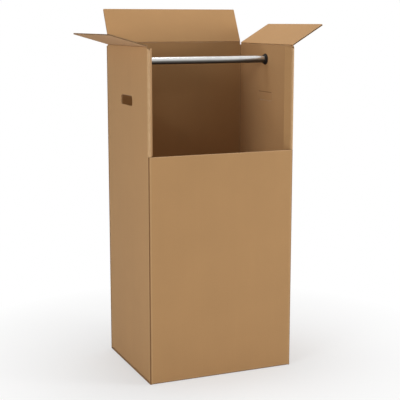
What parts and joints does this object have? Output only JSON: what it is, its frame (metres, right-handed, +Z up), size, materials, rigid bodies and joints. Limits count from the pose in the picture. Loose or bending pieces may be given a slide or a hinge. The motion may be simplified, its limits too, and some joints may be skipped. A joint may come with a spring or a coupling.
{
  "type": "open wardrobe moving box",
  "caption": "Tall corrugated wardrobe box with a cut-away upper front, open top flaps, hand holes and a steel hanging bar for clothes on hangers.",
  "frame": {"origin": "middle of the base, on the floor", "axes": "+Z up, +X along the hanging bar to the right seen from the front, +Y from the front to the back"},
  "size_m": [0.8661, 0.5469, 1.4186],
  "materials": {
    "kraft_board": "matt brown kraft liner on corrugated board",
    "bar_steel": "bright zinc-plated steel tube",
    "socket_plastic": "matt black moulded plastic"
  },
  "bodies": {
    "box": {"box_body": "kraft_board", "hanging_bar": "bar_steel", "left_bar_socket": "socket_plastic", "right_bar_socket": "socket_plastic"},
    "back_flap": {"back_flap": "kraft_board"},
    "left_flap": {"left_flap": "kraft_board"},
    "right_flap": {"right_flap": "kraft_board"}
  },
  "joints": [
    {"name": "back_flap_crease", "type": "hinge", "parent": "box", "child": "back_flap", "pos_m": [0, 0.2375, 1.2856], "axis": [-1, 0, 0], "range_deg": [-117, 78]},
    {"name": "left_flap_crease", "type": "hinge", "parent": "box", "child": "left_flap", "pos_m": [-0.2975, 0, 1.28], "axis": [0, -1, 0], "range_deg": [-164, 31]},
    {"name": "right_flap_crease", "type": "hinge", "parent": "box", "child": "right_flap", "pos_m": [0.2975, 0, 1.28], "axis": [0, 1, 0], "range_deg": [-149, 46]}
  ]
}
